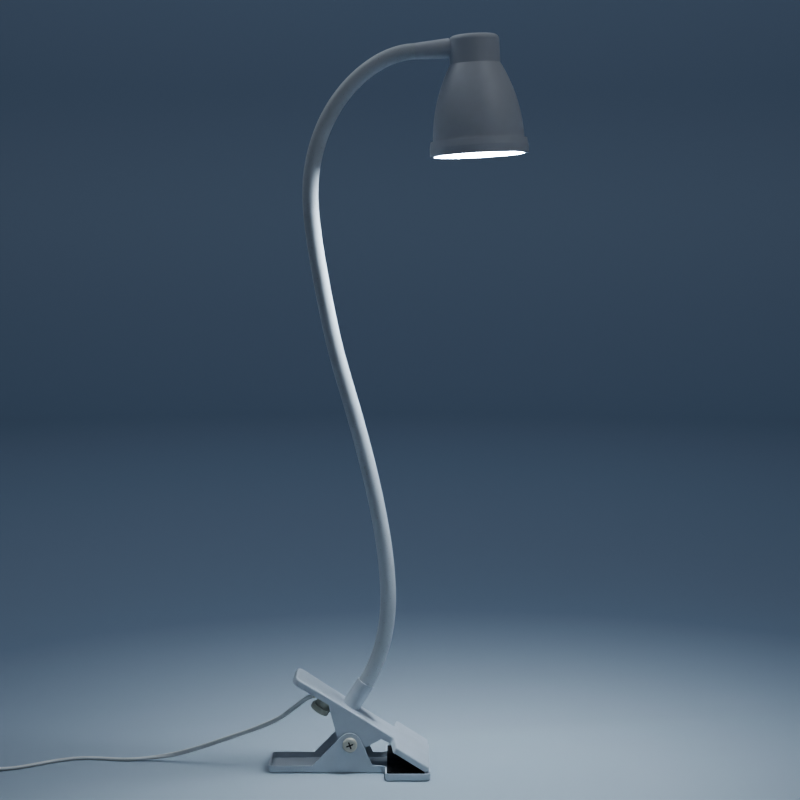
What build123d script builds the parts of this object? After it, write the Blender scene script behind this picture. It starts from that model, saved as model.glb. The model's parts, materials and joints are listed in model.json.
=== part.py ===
from build123d import *
import os
from math import acos, atan2, cos, hypot, pi, radians, sin, tan

# Clip-on reading lamp, in millimetres.
# The origin is on the table under the clip's pivot; +X points to the jaw's tip, +Z is up.

# ---------------------------------------------------------------- driving dimensions
SHEET = 1.2                 # clip's steel sheet
FIT = 0.08                  # radial clearance of what turns on the pivot screw

TAIL_X = -51.0              # lower jaw: tail end, step to the wide jaw, tip
STEP_X = 22.0
TIP_X = 50.0
BODY_WIDTH = 30.6
LOWER_JAW_WIDTH = 64.0
LOWER_FLANGE = 4.7
PIVOT_Z = 18.2
PIVOT_R = 2.5

CLIP_ANGLE = 32.35          # upper jaw's slope down to the tip
UPPER_ORIGIN = (9.63, 0, 33.4)   # on the upper jaw's top face, square above the pivot
UPPER_TAIL, UPPER_TIP = -51.0, 47.5
UPPER_WAIST = 26.0
UPPER_JAW_WIDTH = 60.0
UPPER_FLANGE = 4.1
UPPER_JAW_FLANGE = 3.9
PAD_WIDTH = 56.0

NECK_SEAT = -10.9           # along the upper jaw
NECK_R = 4.85
NECK_END_R = 4.8            # end pieces, under the neck's skin
NECK_BORE = 3.0
NECK_START = 20.0           # first ball above the upper jaw's face
LINK_PITCH = 35.4
LINK_TURNS = [27.0, 8.4, 9.6, -0.5, 5.6, -3.9, -3.4, -1.8, -10.9, -23.7, -19.5, -35.7]
BALL_R = 3.9
SOCKET_R = 4.2
SKIRT = 1.5                 # socket reaches this far past the ball's centre
SHOULDER = 4.4              # tube's end face, below the ball's centre
WAIST_R = 2.4
END_WALL = 1.6
LEAD_HOLE_R = 1.3

HEAD_TILT = 3.0             # of the head's opening, down to the tail's side
HEAD_ROLL = 1.4             # the opening faces a little towards -Y
COLLAR_TILT = 5.0           # of the collar, up to the head
COLLAR_REACH = 39.6         # last ball to the head's centre line
AXIS_H = 65.9               # neck's axis above the head's opening
HEAD_WALL = 1.6
CAP_R, CAP_BOTTOM, CAP_TOP = 15.4, 55.2, 72.4
BELL_R, BELL_MID, BELL_BOTTOM = 27.9, (25.0, 31.0), 9.1
BEZEL_R = 30.2

BOSS_SEAT = -26.3           # cord clamp, along the upper jaw
CORD_D = 2.4
COIL_CENTRE = (-318.0, 9.0)
COIL_INNER, COIL_OUTER = 6.2, 24.8   # six turns side by side, two turns high
COIL_LOW, COIL_HIGH = 0.8, 4.8
COIL_EDGE = 1.55            # outermost turn's line, inside the coil's outer edge
SWITCH_BOX = (42.0, 15.0, 9.0)
SWITCH_CENTRE = (-257.0, -12.0)

CORD_ROUTE = [
    (-23.6, 0.0, 45.4), (-27.2, 0.0, 44.2), (-32.6, 0.1, 40.1), (-39.8, 0.5, 34.2), (-47.0, 1.0, 29.3),
    (-62.0, 2.1, 22.8), (-79.8, 4.2, 16.2), (-97.0, 6.6, 9.6), (-114.0, 9.2, 4.2), (-130.0, 10.8, 1.3),
    (-145.0, 9.6, 1.2), (-159.0, 12.6, 1.2), (-172.0, 14.0, 1.2), (-185.5, 9.4, 1.2), (-198.0, 0.8, 1.2),
    (-210.0, -7.4, 1.2), (-221.0, -11.4, 1.6), (-230.0, -12.0, 2.6),
]
TAIL_ROUTE = [
    (-284.0, -12.0, 2.6), (-291.0, -12.4, 2.1), (-299.0, -13.4, 1.8), (-310.5, -14.2, 1.75),
]

# ---------------------------------------------------------------- helpers
slope = radians(CLIP_ANGLE)
UPPER = Plane(origin=UPPER_ORIGIN, x_dir=(cos(slope), 0, -sin(slope)), z_dir=(sin(slope), 0, cos(slope)))
PIVOT = (0.0, PIVOT_Z)


def disc(radius, low, high):
    """Upright cylinder between two heights."""
    return Pos(0, 0, low) * extrude(Circle(radius), high - low)


def ring(outer, inner, low, high):
    return disc(outer, low, high) - disc(inner, low - 1, high + 1)


def hexagon(across_flats, low, high):
    return Pos(0, 0, low) * extrude(RegularPolygon(across_flats / 3 ** 0.5, 6), high - low)


def block(x0, x1, y0, y1, z0, z1):
    return Pos((x0 + x1) / 2, (y0 + y1) / 2, (z0 + z1) / 2) * Box(x1 - x0, y1 - y0, z1 - z0)


def turned(points):
    """Solid of revolution about Z from (radius, height) points."""
    return revolve(make_face(Plane.XZ * Polyline(*points, close=True)), Axis.Z)


def across(outline, y0, y1):
    """Plate from an XZ outline, between two places along Y."""
    return extrude(Plane.XZ.offset(-y0) * outline, -(y1 - y0))


def pin(radius, y0, y1):
    """Cylinder along Y on the pivot axis."""
    return across(Pos(*PIVOT) * Circle(radius), y0, y1)


def tangent_point(foot, radius, side):
    """Where a line from foot touches the circle about the pivot; side is +1 or -1."""
    dx, dz = foot[0] - PIVOT[0], foot[1] - PIVOT[1]
    angle = atan2(dz, dx) + side * acos(radius / hypot(dx, dz))
    return (PIVOT[0] + radius * cos(angle), PIVOT[1] + radius * sin(angle))


def tube(route, diameter, name=None, tight=None):
    """Straight runs joined by arcs as large as the runs allow."""
    points = [Vector(*p) for p in route]
    radii = []
    for before, corner, after in zip(points, points[1:], points[2:]):
        turn = radians((corner - before).get_angle(after - corner))
        shorter = min((corner - before).length, (after - corner).length)
        radii.append(tight or 0.45 * shorter / tan(turn / 2))
    path = FilletPolyline(*points, radius=radii)
    solid = sweep(Plane(origin=path @ 0, z_dir=path % 0) * Circle(diameter / 2), path)
    if name:
        print(name, "length %.1f" % path.length, "volume/section/length %.4f"
              % (solid.volume / (pi * diameter ** 2 / 4 * path.length)))
        print("  radii in diameters", [round(r / diameter, 1) for r in radii])
    return solid


# ---------------------------------------------------------------- lower jaw
def lower_outline():
    outline = Pos((TAIL_X + TIP_X) / 2, 0) * Rectangle(TIP_X - TAIL_X, BODY_WIDTH)
    outline += Pos((STEP_X + TIP_X) / 2, 0) * Rectangle(TIP_X - STEP_X, LOWER_JAW_WIDTH)
    return fillet(outline.vertices(), 3.0)


def ear(feet, radius, base):
    """Ear outline: a circle about the pivot with tangents to two feet, closed along base points."""
    left, right = feet
    points = [left, tangent_point(left, radius, base[0]), tangent_point(right, radius, -base[0]), right]
    return make_face(Polyline(*points, *base[1:], close=True)) + Pos(*PIVOT) * Circle(radius)


def lower_jaw():
    outline = lower_outline()
    pan = extrude(outline, LOWER_FLANGE)
    pan = fillet(pan.edges().group_by(Axis.Z)[0], 1.2)
    hollow = Pos(0, 0, SHEET) * extrude(offset(outline, -SHEET), LOWER_FLANGE)
    body = pan - hollow
    side = ear([(-23.5, LOWER_FLANGE), (14.0, LOWER_FLANGE)], 7.3, [-1, (14.0, 2.2), (-23.5, 2.2)])
    half = BODY_WIDTH / 2
    body += across(side, -half, -half + SHEET) + across(side, half - SHEET, half)
    return body - pin(PIVOT_R + 0.05, -half - 1, half + 1)


def lower_pad():
    pad = block(STEP_X + SHEET, 46.5, -PAD_WIDTH / 2, PAD_WIDTH / 2, SHEET, 4.8)
    grooves = [block(x, x + 0.8, -PAD_WIDTH, PAD_WIDTH, 4.2, 6) for x in (26.5, 30.5, 34.5, 38.5, 42.5)]
    return pad - grooves


def pivot_screw():
    half = BODY_WIDTH / 2
    head = pin(4.6, -half - 2.2, -half)
    head = fillet(head.edges().sort_by(Axis.Y)[0], 1.3)
    cross = Pos(*PIVOT) * Rot(0, 0, 20) * (Rectangle(4.6, 1.0) + Rectangle(1.0, 4.6))
    return head + pin(PIVOT_R, -half - 0.5, half + 5.0) - across(cross, -half - 3, -half - 0.9)


def pivot_nut():
    half = BODY_WIDTH / 2
    flats = Pos(*PIVOT) * RegularPolygon(8.0 / 3 ** 0.5, 6)
    return across(flats, half, half + 4.0) - pin(PIVOT_R, half - 1, half + 5)


def pivot_sleeve():
    return pin(3.6, -11.6, 11.6) - pin(PIVOT_R + 0.06, -12, 12)


def pivot_washers():
    washer = pin(5.2, -14.1, -13.25) - pin(PIVOT_R + 0.06, -15, -12)
    return washer + mirror(washer, Plane.XZ)


def torsion_spring():
    """Coil round the sleeve, with a leg to each jaw."""
    wire, radius, reach = 0.8, 5.4, 8.5
    low_touch = (-20.0, SHEET + wire + 0.05)
    top = UPPER.from_local_coords(Vector(-22.0, 0, -SHEET - wire - 0.05))
    high_touch = (top.X, top.Z)
    low_leave, high_leave = tangent_point(low_touch, radius, 1), tangent_point(high_touch, radius, -1)
    start = atan2(low_leave[1] - PIVOT_Z, low_leave[0])
    finish = atan2(high_leave[1] - PIVOT_Z, high_leave[0]) + 14 * pi
    pitch = 2 * reach / ((finish - start) / (2 * pi))
    frame = Plane(origin=(0, -reach, PIVOT_Z), x_dir=(cos(start), 0, sin(start)), z_dir=(0, 1, 0))
    path = frame * Helix(pitch, 2 * reach, radius, lefthand=True)
    spring = sweep(Plane(origin=path @ 0, z_dir=path % 0) * Circle(wire), path, is_frenet=True)
    for leave, touch, y in ((low_leave, low_touch, -reach), (high_leave, high_touch, reach)):
        a, b = Vector(leave[0], y, leave[1]), Vector(touch[0], y, touch[1])
        leg = Plane(origin=a, z_dir=b - a) * extrude(Circle(wire), (b - a).length)
        spring += leg + Pos(*a) * Sphere(wire * 1.03)
    return spring


# ---------------------------------------------------------------- upper jaw
def upper_outline():
    tail, waist, jaw = BODY_WIDTH / 2, UPPER_WAIST / 2, UPPER_JAW_WIDTH / 2
    near = [(UPPER_TAIL, -tail), (-25, -waist), (21.5, -waist), (23.2, -jaw), (UPPER_TIP, -jaw)]
    outline = make_face(Polyline(*near, *[(x, -y) for x, y in reversed(near)], close=True))
    ends = outline.vertices().sort_by(Axis.X)
    outline = fillet(ends[:2], 5.0)
    corners = outline.vertices().filter_by_position(Axis.X, 20, 60)
    return fillet(corners, 1.6)


def upper_jaw():
    outline = upper_outline()
    shell = Pos(0, 0, -UPPER_FLANGE) * extrude(outline, UPPER_FLANGE)
    shell = fillet(shell.edges().group_by(Axis.Z)[-1], 1.1)
    shell -= Pos(0, 0, -UPPER_FLANGE - 1) * extrude(offset(outline, -SHEET), UPPER_FLANGE + 1 - SHEET)
    shell -= block(24.6, 60, -40, 40, -UPPER_FLANGE - 1, -UPPER_JAW_FLANGE)
    shell -= Pos(NECK_SEAT, 0, 0) * disc(4.05, -3, 3)
    shell -= Pos(BOSS_SEAT, 0, 0) * disc(1.52, -3, -0.3)
    web = lambda x: 39.5 - 0.6335 * x - 0.8
    foot, peak, toe = (-13.2, 42.6), (19.6, 21.2), (26.3, 17.8)
    points = [foot, tangent_point(foot, 6.8, 1), tangent_point(peak, 6.8, -1), peak, toe]
    side = make_face(Polyline(*points, (toe[0], web(toe[0])), (foot[0], web(foot[0])), close=True))
    side += Pos(*PIVOT) * Circle(6.8)
    waist = UPPER_WAIST / 2
    ears = across(side, -waist, -waist + SHEET) + across(side, waist - SHEET, waist)
    return UPPER * shell + ears - pin(PIVOT_R + FIT, -waist - 1, waist + 1)


def upper_pad():
    pad = block(25.0, 46.0, -PAD_WIDTH / 2, PAD_WIDTH / 2, -SHEET - 3.0, -SHEET)
    grooves = [block(x, x + 0.8, -PAD_WIDTH, PAD_WIDTH, -6, -3.7) for x in (28.5, 32.5, 36.5, 40.5)]
    return UPPER * (pad - grooves)


SEAT = UPPER * Location((NECK_SEAT, 0, 0))
CLAMP = UPPER * Location((BOSS_SEAT, 0, 0))
CLAMP_FOOT = -14.0
CLAMP_R = 4.9
LEAD_Z = -8.2               # of the lead from neck to clamp, under the upper jaw


def ferrule():
    sleeve = ring(5.8, NECK_R + 0.1, 0, 17.5)
    return SEAT * fillet(sleeve.edges().filter_by(GeomType.CIRCLE).sort_by(Axis.Z)[-2:], 0.3)


def ball_end(centre):
    """Ball on its waist, along +Z, with the hole for the lead."""
    end = Pos(0, 0, centre) * Sphere(BALL_R) + disc(WAIST_R, centre - SHOULDER - END_WALL, centre)
    return end - disc(LEAD_HOLE_R, centre - SHOULDER - END_WALL - 1, centre + BALL_R + 1)


def neck_root():
    root = disc(4.0, -6.5, 0.5) + disc(NECK_END_R, 0, NECK_START - SHOULDER)
    root -= disc(2.2, -8, 2.0) + disc(NECK_BORE, 2.0, NECK_START - SHOULDER - END_WALL)
    return SEAT * (root - disc(LEAD_HOLE_R, 2.0, NECK_START) + ball_end(NECK_START))


def neck_washer():
    return SEAT * ring(7.4, 4.05, -SHEET - 0.8, -SHEET)


def neck_nut():
    return SEAT * (hexagon(13.0, -SHEET - 4.8, -SHEET - 0.8) - disc(4.0, -8, 0))


def cord_clamp():
    boss = disc(CLAMP_R, -9.7, -SHEET) + disc(CLAMP_R - 0.5, -10.2, -9.7) + disc(6.2, CLAMP_FOOT, -10.2)
    boss = fillet(boss.edges().group_by(Axis.Z)[0], 0.8)
    start, after = Vector(*CORD_ROUTE[0]), Vector(*CORD_ROUTE[1])
    nozzle = Plane(origin=start, z_dir=start - after) * Pos(0, 0, 3.4) * Cone(1.7, 2.3, 6.8)
    nozzle -= UPPER * block(-50, 0, -9, 9, -SHEET, 20)
    return nozzle + CLAMP * boss - CLAMP * (disc(1.52, -13, 0) + disc(2.9, CLAMP_FOOT - 1, CLAMP_FOOT + 1.6))


def cord_clamp_screw():
    screw = disc(1.5, CLAMP_FOOT + 1, -0.4) + disc(2.7, CLAMP_FOOT + 0.1, CLAMP_FOOT + 1.6)
    return CLAMP * (screw - Pos(0, 0, CLAMP_FOOT) * (Box(3.2, 0.7, 1.4) + Box(0.7, 3.2, 1.4)))


def neck_lead():
    points = [(NECK_SEAT, 0, -4.0), (NECK_SEAT, 0, LEAD_Z), (BOSS_SEAT + CLAMP_R, 0, LEAD_Z)]
    return UPPER * tube(points, 2.0, tight=3.0)


# ---------------------------------------------------------------- neck
def along(station, turn, distance):
    """Point and heading at a distance along a link's arc, in the XZ plane."""
    x, z, heading = station
    curve = turn / LINK_PITCH
    now = heading + curve * distance
    return (x + (sin(now) - sin(heading)) / curve, z - (cos(now) - cos(heading)) / curve, now)


def neck_stations():
    """Each ball's place and the neck's heading there, and each link's turn."""
    seat = UPPER.from_local_coords(Vector(NECK_SEAT, 0, NECK_START))
    heading = radians(90 - CLIP_ANGLE)
    turns = [radians(t) for t in LINK_TURNS]
    stations = [(seat.X, seat.Z, heading)]
    for turn in turns:
        stations.append(along(stations[-1], turn, LINK_PITCH))
    return stations, turns


STATIONS, TURNS = neck_stations()


def neck_link(start, turn):
    """Bent tube with a socket at its lower end and a ball at its upper end."""
    def section(distance):
        x, z, heading = along(start, turn, distance)
        return Plane(origin=(x, 0, z), x_dir=(0, 1, 0), z_dir=(cos(heading), 0, sin(heading)))

    def bent_bar(radius, first, last):
        path = ThreePointArc(*[section(d).origin for d in (first, (first + last) / 2, last)])
        return sweep(section(first) * Circle(radius), path)

    link = bent_bar(NECK_R, -SKIRT, LINK_PITCH - SHOULDER)
    link -= bent_bar(NECK_BORE, 0, LINK_PITCH - SHOULDER - END_WALL)
    link -= section(0) * Sphere(SOCKET_R)
    tip = section(LINK_PITCH)
    link -= tip * disc(LEAD_HOLE_R, -SHOULDER - END_WALL - 1, 0)
    return link + tip * ball_end(0)


# ---------------------------------------------------------------- head
tilt, roll, rise = radians(HEAD_TILT), radians(HEAD_ROLL), radians(COLLAR_TILT)
ACROSS = Vector(cos(tilt), 0, sin(tilt))
UPRIGHT = Vector(-sin(tilt) * cos(roll), sin(roll), cos(tilt) * cos(roll))
LAST_BALL = Vector(STATIONS[-1][0], 0, STATIONS[-1][1])
REACH = Vector(cos(rise), 0, sin(rise))
CENTRE = LAST_BALL + REACH * COLLAR_REACH
HEAD = Plane(origin=CENTRE - UPRIGHT * AXIS_H, x_dir=ACROSS, z_dir=UPRIGHT)
NECK_AXIS = Plane(origin=CENTRE, x_dir=(-sin(rise), 0, cos(rise)), z_dir=REACH)
STUD_R = 3.4
COLLAR_FOOT = 3.4 - COLLAR_REACH
CAP_SCREWS = [(0, 10.0), (0, -10.0)]
BOARD_SCREWS = PolarLocations(19.0, 3, start_angle=12.0)


def neck_tip():
    tip = disc(NECK_END_R, -COLLAR_REACH - SKIRT, COLLAR_FOOT) + disc(STUD_R, COLLAR_FOOT - 1, -19.2)
    tip -= Pos(0, 0, -COLLAR_REACH) * Sphere(SOCKET_R)
    return NECK_AXIS * (tip - disc(2.2, -COLLAR_REACH, -10))


def head_collar():
    foot, top = COLLAR_FOOT + 0.2, -12.4
    taper = Pos(0, 0, (foot + top) / 2) * Cone(4.95, 6.3, top - foot) - disc(STUD_R + 0.05, -40, 0)
    return NECK_AXIS * taper - HEAD * disc(CAP_R, CAP_BOTTOM - 5, CAP_TOP + 5)


def head_stud():
    return NECK_AXIS * ring(STUD_R, 2.2, -19.0, -6.0)


def head_nut():
    return NECK_AXIS * (Rot(0, 0, 30) * hexagon(9.6, -11.0, -7.5) - disc(STUD_R, -12, -6))


def head_cap():
    cap = disc(CAP_R, CAP_BOTTOM, CAP_TOP)
    cap = fillet(cap.edges().group_by(Axis.Z)[-1], 3.2)
    hollow = disc(CAP_R - HEAD_WALL, CAP_BOTTOM - 1, CAP_TOP - 1.2)
    cap -= fillet(hollow.edges().group_by(Axis.Z)[-1], 2.0)
    for x, y in CAP_SCREWS:
        cap += Pos(x, y, 0) * (disc(2.4, CAP_BOTTOM, CAP_TOP - 1) - disc(1.2, CAP_BOTTOM - 1, CAP_BOTTOM + 9.8))
    return HEAD * cap - NECK_AXIS * disc(STUD_R + 0.05, -18, -10)


def cap_screws():
    screws = []
    for x, y in CAP_SCREWS:
        screw = disc(2.3, -1.4, 0) + disc(1.2, 0, 9.4) - disc(0.9, -1.6, -0.7)
        screws.append(HEAD * Pos(x, y, CAP_BOTTOM - HEAD_WALL) * screw)
    return screws


def head_shell():
    """Bell: a long arc outside, the same arc inside one wall further in, a shelf under the cap."""
    outer = ThreePointArc((BELL_R, BELL_BOTTOM), BELL_MID, (CAP_R, CAP_BOTTOM))
    inner_r = BELL_R - HEAD_WALL
    inner = ThreePointArc((13.9, CAP_BOTTOM - HEAD_WALL), (23.42, 30.6), (inner_r, BELL_BOTTOM))
    shelf = Polyline((CAP_R, CAP_BOTTOM), (8, CAP_BOTTOM), (8, CAP_BOTTOM - HEAD_WALL), inner @ 0)
    rim = Polyline((inner_r, BELL_BOTTOM), (inner_r, 3.05), (BELL_R, 3.05), (BELL_R, BELL_BOTTOM))
    shell = revolve(make_face(Plane.XZ * (outer + shelf + inner + rim)), Axis.Z)
    shell += turned([(17, 21.8), (25.6, 21.8), (25.2, 24.5), (17, 24.5)])
    for x, y in CAP_SCREWS:
        shell -= Pos(x, y, 0) * disc(1.3, CAP_BOTTOM - 3, CAP_BOTTOM + 1)
    for place in BOARD_SCREWS:
        shell -= place * disc(1.25, 21, 24.0)
    return HEAD * shell


def bezel_ring():
    profile = [(27.7, 0), (30.0, 0), (BEZEL_R, 0.6), (BEZEL_R, 5.0), (29.5, 9.1), (28.0, 9.1), (28.0, 3.0),
               (28.95, 3.0), (28.95, 1.0), (27.7, 1.0)]
    return HEAD * turned(profile)


def diffuser():
    return HEAD * disc(28.85, 1.0, 3.0)


def reflector():
    return HEAD * turned([(25.3, 3.1), (26.1, 3.1), (21.8, 16.8), (21.0, 16.8)])


def led_board():
    board = disc(21.5, 18.2, 19.8)
    return HEAD * (board - [place * disc(1.3, 18, 20) for place in BOARD_SCREWS])


def led_chips():
    places = PolarLocations(15.5, 15).local_locations + PolarLocations(8.0, 9).local_locations
    return [HEAD * place * Pos(0, 0, 17.9) * Box(2.8, 2.8, 0.6) for place in places]


def board_carrier():
    carrier = ring(24.8, 4.0, 19.8, 21.8)
    return HEAD * (carrier - [place * disc(1.3, 19, 22) for place in BOARD_SCREWS])


def board_screws():
    screw = disc(2.2, 17.0, 18.2) + disc(1.2, 18.2, 23.5) - disc(0.8, 16.5, 17.5)
    return [HEAD * place * screw for place in BOARD_SCREWS]


def head_lead(side):
    route = [(0, side, 19.8), (0, side, AXIS_H), (-17.0, side, AXIS_H)]
    return HEAD * tube(route, 1.4, tight=5.0)


# ---------------------------------------------------------------- cord, switch and plug
def coil():
    """Outer shape of the put-away turns: a round-edged ring lying flat."""
    outline = Pos((COIL_INNER + COIL_OUTER) / 2, (COIL_LOW + COIL_HIGH) / 2)
    outline *= Rectangle(COIL_OUTER - COIL_INNER, COIL_HIGH - COIL_LOW)
    outline = fillet(outline.vertices(), 0.9)
    return Pos(*COIL_CENTRE, 0) * revolve(Plane.XZ * outline, Axis.Z)


def coil_tie():
    x, y = COIL_CENTRE
    band = block(x - COIL_OUTER - 0.8, x - COIL_INNER + 0.8, y - 3.0, y + 3.0, 0, COIL_HIGH + COIL_LOW)
    return fillet(band.edges().filter_by(Axis.Y), 0.8) - coil()


def switch_shell(low, high, open_low):
    """One half of the switch's case, open towards the other half."""
    length, width, _ = SWITCH_BOX
    wall = 1.2
    outline = fillet(Rectangle(length, width).vertices(), 3.5)
    shell = Pos(*SWITCH_CENTRE, low) * extrude(outline, high - low)
    outer_edge = shell.edges().group_by(Axis.Z)[-1 if open_low else 0]
    shell = fillet(outer_edge, 1.0)
    inside = fillet(Rectangle(length - 2 * wall, width - 2 * wall).vertices(), 2.3)
    floor = low - 1 if open_low else low + wall
    roof = high - wall if open_low else high + 1
    return shell - Pos(*SWITCH_CENTRE, floor) * extrude(inside, roof - floor)


SWITCH_SEAM = 5.6
BUTTON = Pos(*SWITCH_CENTRE, 0)


def switch_cover():
    return switch_shell(SWITCH_SEAM, SWITCH_BOX[2], True) - BUTTON * disc(3.4, 6, 10)


def switch_board():
    x, y = SWITCH_CENTRE
    board = block(x - 18.0, x + 18.0, y - 5.5, y + 5.5, 3.6, 4.8)
    return board + [block(x + side * 15 - 1.5, x + side * 15 + 1.5, y - 4, y + 4, 1.2, 3.6) for side in (-1, 1)]


def switch_button():
    button = disc(3.2, 7.0, 10.1)
    return BUTTON * (fillet(button.edges().group_by(Axis.Z)[-1], 0.6) + disc(4.4, 6.6, 7.6))


def switch_grommets():
    x, y = SWITCH_CENTRE
    ends = x + SWITCH_BOX[0] / 2, x - SWITCH_BOX[0] / 2
    near = Pos(ends[0] + 3, y, 2.6) * Rot(0, 90, 0) * Cone(2.5, 1.6, 6)
    far = Pos(ends[1] - 3, y, 2.6) * Rot(0, -90, 0) * Cone(2.5, 1.6, 6)
    return [near, far]


PLUG_Y = COIL_CENTRE[1] + COIL_OUTER - COIL_EDGE
PLUG_Z = 3.75


def usb_grip():
    body = block(-303, -285, PLUG_Y - 6.6, PLUG_Y + 6.6, 0, 2 * PLUG_Z)
    body = fillet(body.edges().filter_by(Axis.X), 2.0)
    body = fillet(body.edges().group_by(Axis.X)[0], 1.0)
    nose = Pos(-306.5, PLUG_Y, PLUG_Z) * Rot(0, -90, 0) * Cone(2.7, 1.9, 8)
    return body + nose - coil()


def usb_shell():
    shell = block(-285, -273, PLUG_Y - 6.0, PLUG_Y + 6.0, PLUG_Z - 2.25, PLUG_Z + 2.25)
    return shell - block(-284.5, -270, PLUG_Y - 5.7, PLUG_Y + 5.7, PLUG_Z - 1.95, PLUG_Z + 1.95)


def usb_insert():
    return block(-284.5, -274.0, PLUG_Y - 5.4, PLUG_Y + 5.4, PLUG_Z - 1.95, PLUG_Z - 0.2)


# ---------------------------------------------------------------- nodes
nodes = {
    "lower_jaw": lower_jaw(),
    "lower_pad": lower_pad(),
    "pivot_screw": pivot_screw(),
    "pivot_nut": pivot_nut(),
    "pivot_sleeve": pivot_sleeve(),
    "pivot_washers": pivot_washers(),
    "torsion_spring": torsion_spring(),
    "upper_jaw": upper_jaw(),
    "upper_pad": upper_pad(),
    "ferrule": ferrule(),
    "neck_root": neck_root(),
    "neck_washer": neck_washer(),
    "neck_nut": neck_nut(),
    "cord_clamp": cord_clamp(),
    "cord_clamp_screw": cord_clamp_screw(),
    "neck_lead": neck_lead(),
    "neck_tip": neck_tip(),
    "head_collar": head_collar(),
    "head_stud": head_stud(),
    "head_nut": head_nut(),
    "head_cap": head_cap(),
    "cap_screws": cap_screws(),
    "head_shell": head_shell(),
    "bezel_ring": bezel_ring(),
    "diffuser": diffuser(),
    "reflector": reflector(),
    "led_board": led_board(),
    "led_chips": led_chips(),
    "board_carrier": board_carrier(),
    "board_screws": board_screws(),
    "lead_red": head_lead(1.0),
    "lead_black": head_lead(-1.0),
    "cord": tube(CORD_ROUTE, CORD_D, "cord") - switch_grommets(),
    "switch_base": switch_shell(0, SWITCH_SEAM, False),
    "switch_cover": switch_cover(),
    "switch_board": switch_board(),
    "switch_button": switch_button(),
    "switch_grommets": switch_grommets(),
    "cord_tail": tube(TAIL_ROUTE, CORD_D, "cord_tail") - coil() - switch_grommets(),
    "cord_coil": coil(),
    "coil_tie": coil_tie(),
    "usb_grip": usb_grip(),
    "usb_shell": usb_shell(),
    "usb_insert": usb_insert(),
}
for number, (station, turn) in enumerate(zip(STATIONS, TURNS), start=1):
    nodes["neck_link_%d" % number] = neck_link(station, turn)

os.makedirs("parts", exist_ok=True)
for name, shape in nodes.items():
    solids = [s for item in (shape if isinstance(shape, list) else [shape]) for s in item.solids()]
    export_step(Compound(children=solids) if len(solids) > 1 else solids[0], "parts/%s.step" % name)

print("hinges x, z, heading:")
for x, z, heading in STATIONS:
    print("  %.3f %.3f %.5f" % (x, z, heading))
print("head centre", CENTRE, "up", UPRIGHT)
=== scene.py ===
import json
from math import acos, atan2, cos, hypot, pi, radians, sin, sqrt

import bpy
import numpy as np
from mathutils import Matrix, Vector


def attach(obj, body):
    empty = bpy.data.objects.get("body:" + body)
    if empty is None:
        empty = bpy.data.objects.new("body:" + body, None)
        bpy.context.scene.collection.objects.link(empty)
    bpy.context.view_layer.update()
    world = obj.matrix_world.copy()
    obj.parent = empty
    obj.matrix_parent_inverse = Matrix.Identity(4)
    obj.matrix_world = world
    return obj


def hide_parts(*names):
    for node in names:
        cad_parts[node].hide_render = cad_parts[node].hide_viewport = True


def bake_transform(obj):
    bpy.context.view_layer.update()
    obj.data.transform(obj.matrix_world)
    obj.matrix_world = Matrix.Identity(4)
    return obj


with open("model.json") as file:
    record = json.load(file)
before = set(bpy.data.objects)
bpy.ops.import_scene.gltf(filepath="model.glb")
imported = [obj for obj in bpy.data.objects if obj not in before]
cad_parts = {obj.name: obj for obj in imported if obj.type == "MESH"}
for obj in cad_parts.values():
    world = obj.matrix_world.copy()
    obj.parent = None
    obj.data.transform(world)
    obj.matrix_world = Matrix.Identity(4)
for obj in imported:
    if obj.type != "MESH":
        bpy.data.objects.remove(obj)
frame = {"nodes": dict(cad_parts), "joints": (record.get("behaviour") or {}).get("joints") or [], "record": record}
NODES = frame["nodes"]
JOINTS = {j["name"]: j for j in frame["joints"]}
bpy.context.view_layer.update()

# ---------------------------------------------------------------- camera
CAMERA_PLACE = (0.0313, -1.1039, 0.347)
CAMERA_PITCH = 5.9            # degrees below level
CAMERA_LENS = 80.55           # on a 36 mm sensor

camera_data = bpy.data.cameras.new("camera")
camera_data.lens = CAMERA_LENS
camera_data.sensor_width = 36
camera = bpy.data.objects.new("camera", camera_data)
camera.location = CAMERA_PLACE
camera.rotation_euler = (radians(90 - CAMERA_PITCH), 0, 0)
bpy.context.scene.collection.objects.link(camera)
bpy.context.scene.camera = camera


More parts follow.
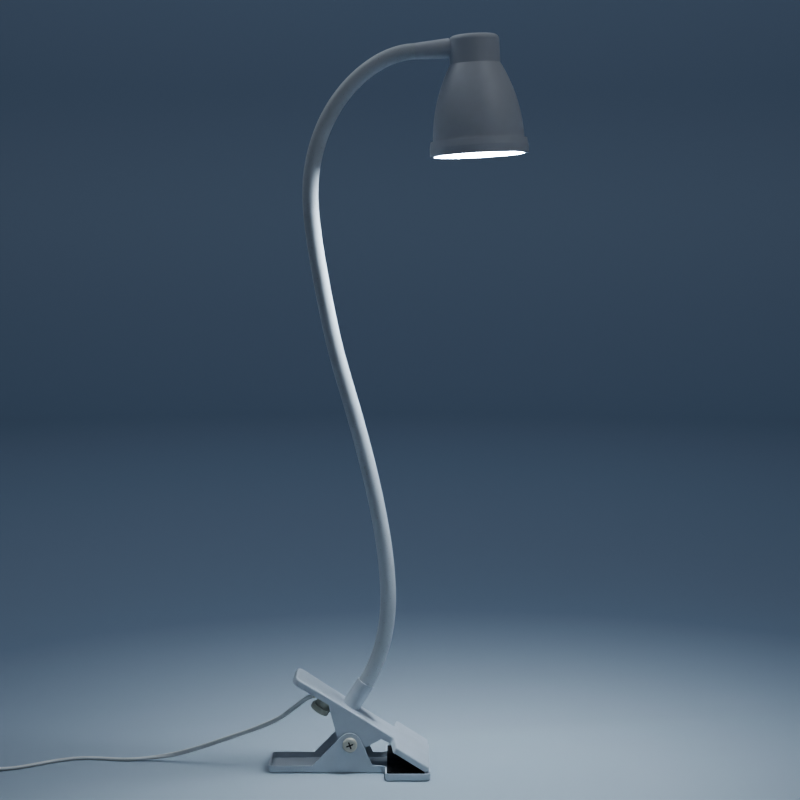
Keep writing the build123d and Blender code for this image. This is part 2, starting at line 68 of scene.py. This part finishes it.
# ---------------------------------------------------------------- materials
class Paint:
    """A node material: a base colour with detail from noise, in the part's own coordinates."""

    def __init__(self, name, colour, roughness, metallic=0.0):
        self.material = bpy.data.materials.new(name)
        self.material.use_nodes = True
        self.tree = self.material.node_tree
        self.shader = self.tree.nodes["Principled BSDF"]
        self.shader.inputs["Metallic"].default_value = metallic
        self.colour = (*colour, 1.0)
        self.set("Base Color", self.colour)
        self.set("Roughness", roughness)
        self.coords = self.node("ShaderNodeTexCoord").outputs["Object"]

    def node(self, kind, **settings):
        made = self.tree.nodes.new(kind)
        for key, value in settings.items():
            setattr(made, key, value)
        return made

    def join(self, source, target):
        self.tree.links.new(source, target)

    def set(self, socket, value):
        self.shader.inputs[socket].default_value = value

    def drive(self, socket, source):
        """Shader input fed from another node."""
        self.join(source, self.shader.inputs[socket])

    def noise(self, size, detail=3.0, roughness=0.55, stretch=(1, 1, 1)):
        """Noise between 0 and 1, with features of about size metres."""
        mapping = self.node("ShaderNodeMapping")
        mapping.inputs["Scale"].default_value = [s / size for s in stretch]
        self.join(self.coords, mapping.inputs["Vector"])
        texture = self.node("ShaderNodeTexNoise")
        texture.inputs["Scale"].default_value = 1.0
        texture.inputs["Detail"].default_value = detail
        texture.inputs["Roughness"].default_value = roughness
        self.join(mapping.outputs["Vector"], texture.inputs["Vector"])
        return texture.outputs["Fac"]

    def ramp(self, source, low, high, from_low=0.35, from_high=0.65):
        """Value that runs from low to high as source does between its two limits."""
        ranged = self.node("ShaderNodeMapRange")
        ranged.inputs["From Min"].default_value = from_low
        ranged.inputs["From Max"].default_value = from_high
        ranged.inputs["To Min"].default_value = low
        ranged.inputs["To Max"].default_value = high
        self.join(source, ranged.inputs["Value"])
        return ranged.outputs["Result"]

    def mix(self, factor, first, second):
        """Colour between two, each a colour or a socket."""
        mixed = self.node("ShaderNodeMix", data_type="RGBA")
        self.join(factor, mixed.inputs["Factor"])
        for value, socket in ((first, mixed.inputs["A"]), (second, mixed.inputs["B"])):
            if isinstance(value, tuple):
                socket.default_value = (*value[:3], 1.0)
            else:
                self.join(value, socket)
        return mixed.outputs["Result"]

    def multiply(self, first, second):
        made = self.node("ShaderNodeMath", operation="MULTIPLY")
        self.join(first, made.inputs[0])
        self.join(second, made.inputs[1])
        return made.outputs[0]

    def distance(self, source, centre):
        """How far a vector is from a fixed place, in metres."""
        made = self.node("ShaderNodeVectorMath", operation="DISTANCE")
        self.join(source, made.inputs[0])
        made.inputs[1].default_value = centre
        return made.outputs["Value"]

    def mottle(self, size, amount, tint=(1, 1, 1)):
        """Slow change of the base colour, darker by amount in places."""
        dark = tuple(c * (1 - amount) * t for c, t in zip(self.colour, tint))
        return self.mix(self.ramp(self.noise(size), 0, 1), self.colour, dark)

    def bump(self, layers):
        """Layers of (height, distance in metres, strength), the first one deepest."""
        normal = None
        for height, distance, strength in layers:
            made = self.node("ShaderNodeBump")
            made.inputs["Distance"].default_value = distance
            made.inputs["Strength"].default_value = strength
            self.join(height, made.inputs["Height"])
            if normal:
                self.join(normal, made.inputs["Normal"])
            normal = made.outputs["Normal"]
        self.join(normal, self.shader.inputs["Normal"])

    def edge_mask(self, radius, low=0.02, high=0.25):
        """1 on sharp edges, 0 on flats: how far the rounded normal leans from the real one."""
        bevel = self.node("ShaderNodeBevel", samples=4)
        bevel.inputs["Radius"].default_value = radius
        real = self.node("ShaderNodeNewGeometry").outputs["Normal"]
        dot = self.node("ShaderNodeVectorMath", operation="DOT_PRODUCT")
        self.join(bevel.outputs["Normal"], dot.inputs[0])
        self.join(real, dot.inputs[1])
        return self.ramp(dot.outputs["Value"], 1, 0, 1 - high, 1 - low)

    def recess(self, y_from, y_to, centre, radius):
        """1 between two depths along Y and within radius of the centre (x, z), 0 outside."""
        split = self.node("ShaderNodeSeparateXYZ")
        self.join(self.coords, split.inputs["Vector"])
        flat = self.node("ShaderNodeCombineXYZ")
        self.join(split.outputs["X"], flat.inputs["X"])
        self.join(split.outputs["Z"], flat.inputs["Z"])
        distance = self.distance(flat.outputs["Vector"], (centre[0], 0, centre[1]))
        near = self.ramp(distance, 1, 0, radius, radius * 1.04)
        deep = self.ramp(split.outputs["Y"], 0, 1, y_from, y_to)
        return self.multiply(near, deep)


def powder_coat(name, colour, roughness=0.42, shaded_recess=None):
    """Satin powder coat on steel: fine orange peel, faint clouding, rubbed edges, and painted shade darkening a
    recess.
    """
    paint = Paint(name, colour, roughness)
    edges = paint.edge_mask(0.0006)
    clouded = paint.mottle(0.018, 0.06, (1.0, 0.995, 0.985))
    rubbed = paint.mix(paint.ramp(paint.noise(0.0009, 4), 0, 1, 0.4, 0.6), colour, (0.62, 0.63, 0.64))
    worn = paint.multiply(edges, paint.ramp(paint.noise(0.006), 0.0, 0.55, 0.45, 0.7))
    coat = paint.mix(worn, clouded, rubbed)
    if shaded_recess:
        # painted shade: inside the given recess the coat is painted near black
        coat = paint.mix(paint.recess(*shaded_recess), coat, RECESS_SHADE_COLOUR)
    paint.drive("Base Color", coat)
    paint.drive("Roughness", paint.ramp(paint.noise(0.004), roughness - 0.05, roughness + 0.07))
    paint.set("Specular IOR Level", 0.5)
    paint.set("Coat Weight", 0.12)
    paint.set("Coat Roughness", 0.25)
    paint.bump([(paint.noise(0.0011, 2), 0.00006, 0.30), (paint.noise(0.00035, 2), 0.00002, 0.25)])
    return paint.material


def moulded_plastic(name, colour, roughness=0.45, grain=0.0005):
    """Moulded plastic: fine spark grain, faint flow marks, slight colour change."""
    paint = Paint(name, colour, roughness)
    paint.drive("Base Color", paint.mottle(0.022, 0.05, (1.0, 0.995, 0.98)))
    paint.drive("Roughness", paint.ramp(paint.noise(0.006), roughness - 0.06, roughness + 0.06))
    paint.set("Subsurface Weight", 0.04)
    paint.set("Subsurface Radius", (0.002, 0.002, 0.0018))
    paint.bump([(paint.noise(0.009, 1), 0.00005, 0.2), (paint.noise(grain, 2), 0.00002, 0.35)])
    return paint.material


def silicone(name, colour):
    """Soft sleeve: matt skin with a light bloom, faint draw lines and specks of dust."""
    paint = Paint(name, colour, 0.52)
    specks = paint.ramp(paint.noise(0.0007, 1, 0.3), 0, 1, 0.70, 0.74)
    base = paint.mottle(0.03, 0.05, (1.0, 1.0, 0.985))
    paint.drive("Base Color", paint.mix(specks, base, (0.55, 0.55, 0.53)))
    paint.drive("Roughness", paint.ramp(paint.noise(0.008), 0.46, 0.6))
    paint.set("Sheen Weight", 0.15)
    paint.set("Sheen Roughness", 0.4)
    paint.set("Subsurface Weight", 0.06)
    paint.set("Subsurface Radius", (0.003, 0.003, 0.0027))
    draw = paint.noise(0.0016, 2, 0.5, (1, 1, 0.06))
    paint.bump([(draw, 0.00005, 0.2), (paint.noise(0.0004, 2), 0.00002, 0.3)])
    return paint.material


def black_rubber(name):
    paint = Paint(name, (0.022, 0.022, 0.024), 0.7)
    paint.drive("Base Color", paint.mottle(0.006, -0.5))
    paint.drive("Roughness", paint.ramp(paint.noise(0.003), 0.6, 0.82))
    paint.bump([(paint.noise(0.0008, 3), 0.00006, 0.5)])
    return paint.material


def metal(name, colour, roughness, stretch=(1, 1, 1), size=0.002):
    """Plated or bare metal with fine tool marks along one way."""
    paint = Paint(name, colour, roughness, 1.0)
    marks = paint.noise(size, 4, 0.6, stretch)
    dark = tuple(c * 0.72 for c in colour)
    paint.drive("Base Color", paint.mix(paint.ramp(marks, 0, 1), colour, dark))
    paint.drive("Roughness", paint.ramp(paint.noise(size * 2), roughness - 0.07, roughness + 0.12))
    paint.bump([(marks, 0.00002, 0.35)])
    return paint.material


def vinyl(name, colour, roughness=0.38):
    """Cord and lead insulation: smooth extruded skin with faint waves."""
    paint = Paint(name, colour, roughness)
    paint.drive("Base Color", paint.mottle(0.01, 0.07, (1.0, 0.99, 0.97)))
    paint.drive("Roughness", paint.ramp(paint.noise(0.004), roughness - 0.05, roughness + 0.1))
    paint.bump([(paint.noise(0.002, 2), 0.00004, 0.25)])
    return paint.material


def circuit_board(name):
    """Green solder mask over raised tracks."""
    paint = Paint(name, (0.03, 0.2, 0.09), 0.35)
    cells = paint.node("ShaderNodeTexVoronoi", feature="DISTANCE_TO_EDGE", distance="MANHATTAN")
    cells.inputs["Scale"].default_value = 420
    paint.join(paint.coords, cells.inputs["Vector"])
    tracks = paint.ramp(cells.outputs["Distance"], 1, 0, 0.05, 0.09)
    paint.drive("Base Color", paint.mix(tracks, paint.colour, (0.05, 0.3, 0.13)))
    paint.bump([(tracks, 0.00004, 0.5)])
    return paint.material


def lit_diffuser(name, strength):
    """Frosted lens, lit from behind: its glow changes a little in tint from place to place."""
    paint = Paint(name, (0.92, 0.94, 0.96), 0.35)
    frost = paint.noise(0.0006, 2)
    glow = paint.mix(paint.ramp(paint.noise(0.006, 1), 0, 1), (0.82, 0.92, 1.0), (0.72, 0.86, 1.0))
    paint.drive("Emission Color", glow)
    paint.set("Emission Strength", strength)
    paint.drive("Base Color", paint.mottle(0.004, 0.04))
    paint.bump([(frost, 0.00003, 0.4)])
    return paint.material


WHITE = (0.70, 0.75, 0.81)
# painted shade: a near black colour painted into the screw's cross recess, which the next line places
RECESS_SHADE_COLOUR = (0.035, 0.034, 0.032)
SCREW_RECESS = (-0.0174, -0.0168, (0.0, 0.0182), 0.0026)   # depths along Y, pivot (x, z), radius
MATERIALS = {
    "white_paint": powder_coat("white powder coat", WHITE),
    "cream_paint": powder_coat("cream paint", (0.74, 0.70, 0.60), 0.36, SCREW_RECESS),
    "white_plastic": moulded_plastic("white plastic", (0.72, 0.75, 0.81)),
    "cream_plastic": moulded_plastic("cream plastic", (0.70, 0.67, 0.55)),
    "black_rubber": black_rubber("black rubber"),
    "zinc_steel": metal("zinc plated steel", (0.62, 0.62, 0.60), 0.32, (1, 1, 6)),
    "spring_steel": metal("spring steel", (0.42, 0.42, 0.43), 0.3, (6, 1, 6), 0.001),
    "neck_core": metal("steel links", (0.55, 0.55, 0.55), 0.35),
    "neck_sleeve": silicone("silicone sleeve", (0.73, 0.77, 0.81)),
    "cord_white": vinyl("white cord", (0.74, 0.74, 0.73)),
    "lead_red_pvc": vinyl("red lead", (0.5, 0.02, 0.02)),
    "lead_black_pvc": vinyl("black lead", (0.02, 0.02, 0.02)),
    "lit_diffuser": lit_diffuser("lit diffuser", 125.0),
    "led_board_white": moulded_plastic("white board", (0.8, 0.8, 0.78), 0.4),
    "led_yellow": moulded_plastic("phosphor", (0.8, 0.6, 0.1), 0.3),
    "heat_sink": metal("aluminium plate", (0.7, 0.7, 0.72), 0.35, (1, 8, 1)),
    "switch_plastic": moulded_plastic("switch plastic", (0.76, 0.76, 0.76), 0.5, 0.0004),
    "circuit_board": circuit_board("circuit board"),
    "button_grey": moulded_plastic("grey button", (0.42, 0.43, 0.45), 0.4),
    "plug_steel": metal("bright steel", (0.75, 0.75, 0.77), 0.2, (8, 1, 1)),
    "plug_insert": moulded_plastic("plug insert", (0.85, 0.85, 0.85), 0.3),
}
SLOTS = {s["node"]: s["material_slot"] for s in frame["record"]["subparts"]}
for node, part in NODES.items():
    part.data.materials.clear()
    part.data.materials.append(MATERIALS[SLOTS[node]])


# ---------------------------------------------------------------- mesh helpers
def piece(name, vertices, faces, slot):
    """Smooth mesh object in the shared frame, with its slot's material."""
    mesh = bpy.data.meshes.new(name)
    mesh.from_pydata([tuple(v) for v in vertices], [], faces)
    mesh.materials.append(MATERIALS[slot])
    mesh.shade_smooth()
    made = bpy.data.objects.new(name, mesh)
    bpy.context.scene.collection.objects.link(made)
    return made


def ring_faces(rings, around, cap_first=False, cap_last=False):
    """Quads between rings of vertices, with optional end caps."""
    faces = []
    for i in range(rings - 1):
        low_ring, high_ring = i * around, (i + 1) * around
        for k in range(around):
            m = (k + 1) % around
            faces.append((low_ring + k, low_ring + m, high_ring + m, high_ring + k))
    if cap_first:
        faces.append(tuple(reversed(range(around))))
    if cap_last:
        faces.append(tuple((rings - 1) * around + k for k in range(around)))
    return faces


# ---------------------------------------------------------------- neck sleeve
NECK_R = 0.0049
SLEEVE_AROUND = 48
SLEEVE_RING_STEP = 0.0009
NECK_JOINTS = [JOINTS["neck_bend_%d" % (k + 1)] for k in range(13)]
SLEEVE_START = 0.0195         # first joint back to inside the ferrule
SLEEVE_END = 0.00355          # last joint on to the collar's foot
FIRST_HEADING = radians(57.65)
LAST_HEADING = radians(5.0)


def smooth_line(points, first, last):
    """Cubic spline through points (x, z), with given end directions, by the length of its chords."""
    points = np.array(points)
    chord = np.r_[0, np.cumsum(np.linalg.norm(np.diff(points, axis=0), axis=1))]
    steps = np.diff(chord)
    count = len(points)
    left = np.zeros((count, count))
    right = np.zeros((count, 2))
    left[0, 0] = left[-1, -1] = 1
    right[0], right[-1] = first, last
    for i in range(1, count - 1):
        before, after = steps[i - 1], steps[i]
        left[i, i - 1:i + 2] = after, 2 * (before + after), before
        step_before, step_after = points[i] - points[i - 1], points[i + 1] - points[i]
        right[i] = 3 * (after * step_before / before + before * step_after / after)
    slopes = np.linalg.solve(left, right)

    def at(s):
        i = int(min(max(np.searchsorted(chord, s) - 1, 0), count - 2))
        h = steps[i]
        t = (s - chord[i]) / h
        place = ((1 + 2 * t) * (1 - t) ** 2 * points[i] + t * (1 - t) ** 2 * h * slopes[i]
                 + t * t * (3 - 2 * t) * points[i + 1] + t * t * (t - 1) * h * slopes[i + 1])
        way = (6 * t * (t - 1) * (points[i] - points[i + 1]) / h
               + (1 - 4 * t + 3 * t * t) * slopes[i] + t * (3 * t - 2) * slopes[i + 1])
        return place, way / np.linalg.norm(way)

    return at, chord


def neck_sleeve():
    """Smooth skin over the links: a tube for each joint, from the middle of one link to that of the next."""
    first = np.array([cos(FIRST_HEADING), sin(FIRST_HEADING)])
    last = np.array([cos(LAST_HEADING), sin(LAST_HEADING)])
    balls = [np.array(j["pos_m"])[[0, 2]] for j in NECK_JOINTS]
    points = [balls[0] - first * SLEEVE_START, *balls, balls[-1] + last * SLEEVE_END]
    at, chord = smooth_line(points, first, last)
    cuts = [chord[0]] + [(a + b) / 2 for a, b in zip(chord[1:-2], chord[2:-1])] + [chord[-1]]
    last_joint = len(NECK_JOINTS) - 1
    for k in range(last_joint + 1):
        rings = int((cuts[k + 1] - cuts[k]) / SLEEVE_RING_STEP) + 2
        vertices = []
        for s in np.linspace(cuts[k], cuts[k + 1], rings):
            place, way = at(s)
            for a in np.arange(SLEEVE_AROUND) * 2 * pi / SLEEVE_AROUND:
                side, up = NECK_R * cos(a), NECK_R * sin(a)
                vertices.append((place[0] - way[1] * up, -side, place[1] + way[0] * up))
        sleeve = piece("neck_sleeve_%d" % (k + 1), vertices, ring_faces(rings, SLEEVE_AROUND), "neck_sleeve")
        centre, way = at(chord[k + 1])
        if k < last_joint:
            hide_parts("neck_link_%d" % (k + 1))
        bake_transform(sleeve)


# ---------------------------------------------------------------- return spring
SPRING_WIRE_R = 0.0008
SPRING_R = 0.0054
SPRING_REACH = 0.0085         # either side of the middle, along the pivot
SPRING_TURNS = 7
SPRING_AROUND = 12
SPRING_STEPS = 28             # rings a turn
SPRING_FEET = ((-0.0200, 0.00205), (-0.01005, 0.04344))   # (x, z) on the lower and the upper jaw


def tangent_angle(pivot, foot, side):
    """Angle about the pivot where a line from foot leaves the spring's coil."""
    dx, dz = foot[0] - pivot[0], foot[1] - pivot[1]
    return atan2(dz, dx) + side * acos(SPRING_R / hypot(dx, dz))


def return_spring():
    """Wire wound round the pivot, a leg to each jaw, made as one fixed mesh."""
    x, _, z = JOINTS["clip_hinge"]["pos_m"]
    first = tangent_angle((x, z), SPRING_FEET[0], 1)
    last = tangent_angle((x, z), SPRING_FEET[1], -1) + 2 * pi * SPRING_TURNS
    lower_foot, upper_foot = [Vector((foot[0], y, foot[1]))
                              for foot, y in zip(SPRING_FEET, (-SPRING_REACH, SPRING_REACH))]
    line = [lower_foot]
    for t in np.linspace(0, 1, SPRING_STEPS * SPRING_TURNS):
        angle = first + (last - first) * t
        place_x, place_z = x + SPRING_R * cos(angle), z + SPRING_R * sin(angle)
        line.append(Vector((place_x, SPRING_REACH * (2 * t - 1), place_z)))
    line.append(upper_foot)
    vertices = []
    for i, point in enumerate(line):
        way = (line[min(i + 1, len(line) - 1)] - line[max(i - 1, 0)]).normalized()
        side = way.cross(Vector((0, 1, 0))).normalized()
        up = side.cross(way)
        for a in np.arange(SPRING_AROUND) * 2 * pi / SPRING_AROUND:
            vertices.append(point + (side * cos(a) + up * sin(a)) * SPRING_WIRE_R)
    faces = ring_faces(len(line), SPRING_AROUND, cap_first=True, cap_last=True)
    spring = piece("return_spring", vertices, faces, "spring_steel")
    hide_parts("torsion_spring")
    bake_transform(spring)


# ---------------------------------------------------------------- cords
CORE_R = 0.00095              # one of the cord's two cores, side by side
CORE_OFFSET = 0.00055
CORD_ROUTE = [
    (-0.0236, 0.0, 0.0454), (-0.0272, 0.0, 0.0442), (-0.0326, 0.0001, 0.0401),
    (-0.0398, 0.0005, 0.0342), (-0.0470, 0.0010, 0.0293), (-0.0620, 0.0021, 0.0228),
    (-0.0798, 0.0042, 0.0162), (-0.0970, 0.0066, 0.0096), (-0.1140, 0.0092, 0.0042),
    (-0.1300, 0.0108, 0.0017), (-0.1450, 0.0096, 0.0010), (-0.1590, 0.0126, 0.0010),
    (-0.1720, 0.0140, 0.0010), (-0.1855, 0.0094, 0.0010), (-0.1980, 0.0008, 0.0010),
    (-0.2100, -0.0074, 0.0010), (-0.2210, -0.0114, 0.0014), (-0.2300, -0.0120, 0.0026),
]
TAIL_ROUTE = [
    (-0.2840, -0.0120, 0.0026), (-0.2910, -0.0124, 0.0021), (-0.2990, -0.0134, 0.0018),
    (-0.3085, -0.0142, 0.0017),
]
COIL_CENTRE = (-0.318, 0.009)
COIL_FIRST_R, COIL_TURN_STEP = 0.00775, 0.0031
COIL_RADII = [COIL_FIRST_R + COIL_TURN_STEP * k for k in range(6)]
COIL_ROWS = (0.00175, 0.00375)
PLUG_ENTRY = (-0.3095, 0.03225, 0.00375)
TURN_POINTS = 14              # of the coil's route, in each turn
TURN_HOLD = 0.6               # share of a turn before it moves over to the next one
COIL_STRETCH = 1 / cos(pi / TURN_POINTS) ** sqrt(2)    # control points stand outside the turn they shape
CORD_FLAT_X, CORD_UPRIGHT_X = -0.134, -0.106           # it turns on edge between the two


def curve_line(name, route):
    """Centre points of a NURBS curve whose control points are the route's points."""
    data = bpy.data.curves.new(name, "CURVE")
    data.dimensions = "3D"
    data.resolution_u = 8
    spline = data.splines.new("NURBS")
    spline.points.add(len(route) - 1)
    for point, place in zip(spline.points, route):
        point.co = (*place, 1.0)
    spline.order_u = 3
    spline.use_endpoint_u = True
    made = bpy.data.objects.new(name, data)
    bpy.context.scene.collection.objects.link(made)
    bpy.context.view_layer.update()
    mesh = bpy.data.meshes.new_from_object(made.evaluated_get(bpy.context.evaluated_depsgraph_get()))
    line = [v.co.copy() for v in mesh.vertices]
    bpy.data.meshes.remove(mesh)
    bpy.data.objects.remove(made)
    return line


def twin_section(steps=9):
    """Outline of two round cores side by side: (across, up) points."""
    meet = atan2(sqrt(CORE_R ** 2 - CORE_OFFSET ** 2), -CORE_OFFSET)
    angles = np.linspace(-meet, meet, 2 * steps + 1)
    right = [(CORE_OFFSET + CORE_R * cos(a), CORE_R * sin(a)) for a in angles]
    left = [(-x, -y) for x, y in right]
    return right[:-1] + left[:-1]


def twin_cord(name, line, flat_x=0.0, upright_x=0.0):
    """Flat two-core cord, its wide side level up to flat_x and turned upright past upright_x."""
    section = twin_section()
    vertices = []
    for i, point in enumerate(line):
        way = (line[min(i + 1, len(line) - 1)] - line[max(i - 1, 0)]).normalized()
        across = way.cross(Vector((0, 0, 1))).normalized()
        up = across.cross(way)
        share = 0.0
        if upright_x > flat_x:
            share = min(max((point.x - flat_x) / (upright_x - flat_x), 0.0), 1.0)
        turn = pi / 2 * share * share * (3 - 2 * share)
        for x, y in section:
            side, height = x * cos(turn) - y * sin(turn), x * sin(turn) + y * cos(turn)
            vertices.append(point + across * side + up * height)
    faces = ring_faces(len(line), len(section), cap_first=True, cap_last=True)
    return piece(name, vertices, faces, "cord_white")


def coil_route():
    """Turns of the put-away length: inward on the lower row, outward on the upper one."""
    route = []
    turns = len(COIL_RADII)
    total = 2 * turns * TURN_POINTS
    outer = list(reversed(COIL_RADII))
    radii = outer + COIL_RADII
    for i in range(total + TURN_POINTS // 2):
        turn = i / TURN_POINTS
        k = min(int(turn), 2 * turns - 1)
        share = min(turn - k, 1.0)
        after = radii[min(k + 1, 2 * turns - 1)]
        moved = max(0.0, (share - TURN_HOLD) / (1 - TURN_HOLD))
        radius = radii[k] + (after - radii[k]) * moved
        lift = 0.0 if k < turns - 1 else 1.0 if k >= turns else moved
        height = COIL_ROWS[0] + (COIL_ROWS[1] - COIL_ROWS[0]) * lift
        angle = -pi / 2 - 2 * pi * turn
        route.append((COIL_CENTRE[0] + radius * COIL_STRETCH * cos(angle),
                      COIL_CENTRE[1] + radius * COIL_STRETCH * sin(angle), height))
    return route


def cords():
    line = curve_line("cord_line", CORD_ROUTE)
    cord = twin_cord("power_cord", line, CORD_FLAT_X, CORD_UPRIGHT_X)
    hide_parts("cord")
    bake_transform(cord)
    line = curve_line("coil_line", TAIL_ROUTE + coil_route() + [PLUG_ENTRY])
    coil = twin_cord("coiled_cord", line)
    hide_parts("cord_tail", "cord_coil")
    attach(coil, "lower_jaw_body")


# ---------------------------------------------------------------- stage
FLOOR_R = 2.0
CURVE_R = 0.6
WALL_TOP = 3.2
STAGE_AROUND = 96
# painted light: the lamp's pool of light is painted pale into the floor round this centre, fading to the wall's
# darker colour as painted shade between the two distances
LIGHT_POOL_CENTRE = (0.07, -0.05, 0.0)      # the floor is palest here
LIGHT_POOL_INNER, LIGHT_POOL_OUTER = 0.12, 0.50
FLOOR_COLOUR = (0.50, 0.57, 0.63)
WALL_AND_SHADE_COLOUR = (0.22, 0.28, 0.37)


def stage():
    """Plain floor that curves up into a darker wall all round, with painted light: pale in a pool round the lamp,
    painted darker farther out as shade.
    """
    profile = [(0.35 * FLOOR_R, 0.0), (FLOOR_R, 0.0)]
    profile += [(FLOOR_R + CURVE_R * sin(a), CURVE_R * (1 - cos(a))) for a in np.linspace(0, pi / 2, 24)[1:]]
    profile.append((FLOOR_R + CURVE_R, WALL_TOP))
    angles = np.arange(STAGE_AROUND) * 2 * pi / STAGE_AROUND
    vertices = [(r * cos(a), r * sin(a), z) for r, z in profile for a in angles]
    mesh = bpy.data.meshes.new("floor")
    mesh.from_pydata(vertices, [], ring_faces(len(profile), STAGE_AROUND, cap_first=True))
    mesh.shade_smooth()
    floor = bpy.data.objects.new("floor", mesh)
    bpy.context.scene.collection.objects.link(floor)
    paint = Paint("pale floor", FLOOR_COLOUR, 0.62)
    # painted light and shade: pale floor colour near the lamp, darker colour farther away
    away = paint.ramp(paint.distance(paint.coords, LIGHT_POOL_CENTRE), 0, 1, LIGHT_POOL_INNER, LIGHT_POOL_OUTER)
    paint.drive("Base Color", paint.mix(away, paint.mottle(0.4, 0.03), WALL_AND_SHADE_COLOUR))
    mesh.materials.append(paint.material)


def area_light(name, place, target, size, power, colour):
    data = bpy.data.lights.new(name, "AREA")
    data.shape = "SQUARE"
    data.size = size
    data.energy = power
    data.color = colour
    lamp = bpy.data.objects.new(name, data)
    lamp.location = place
    lamp.rotation_euler = (Vector(target) - Vector(place)).to_track_quat("-Z", "Y").to_euler()
    bpy.context.scene.collection.objects.link(lamp)


def studio():
    """Soft light: a large key from the upper right, a weak fill, a wash on the backdrop, a rim light."""
    world = bpy.data.worlds.new("studio")
    world.use_nodes = True
    world.node_tree.nodes["Background"].inputs["Color"].default_value = (0.72, 0.84, 1.0, 1)
    world.node_tree.nodes["Background"].inputs["Strength"].default_value = 0.04
    bpy.context.scene.world = world
    bpy.context.scene.view_settings.look = "AgX - Medium High Contrast"
    middle = (0.02, 0, 0.22)
    area_light("key", (0.75, -0.55, 1.35), middle, 0.8, 2.4, (0.92, 0.96, 1.0))
    area_light("fill", (-0.8, -1.2, 1.5), middle, 1.0, 1.3, (0.80, 0.89, 1.0))
    area_light("backdrop", (0.0, 0.9, 1.9), (0.0, 2.6, 0.5), 1.5, 12, (0.80, 0.89, 1.0))
    area_light("rim", (-0.55, 0.25, 1.1), middle, 0.5, 1.5, (0.88, 0.94, 1.0))


neck_sleeve()
return_spring()
cords()
stage()
studio()
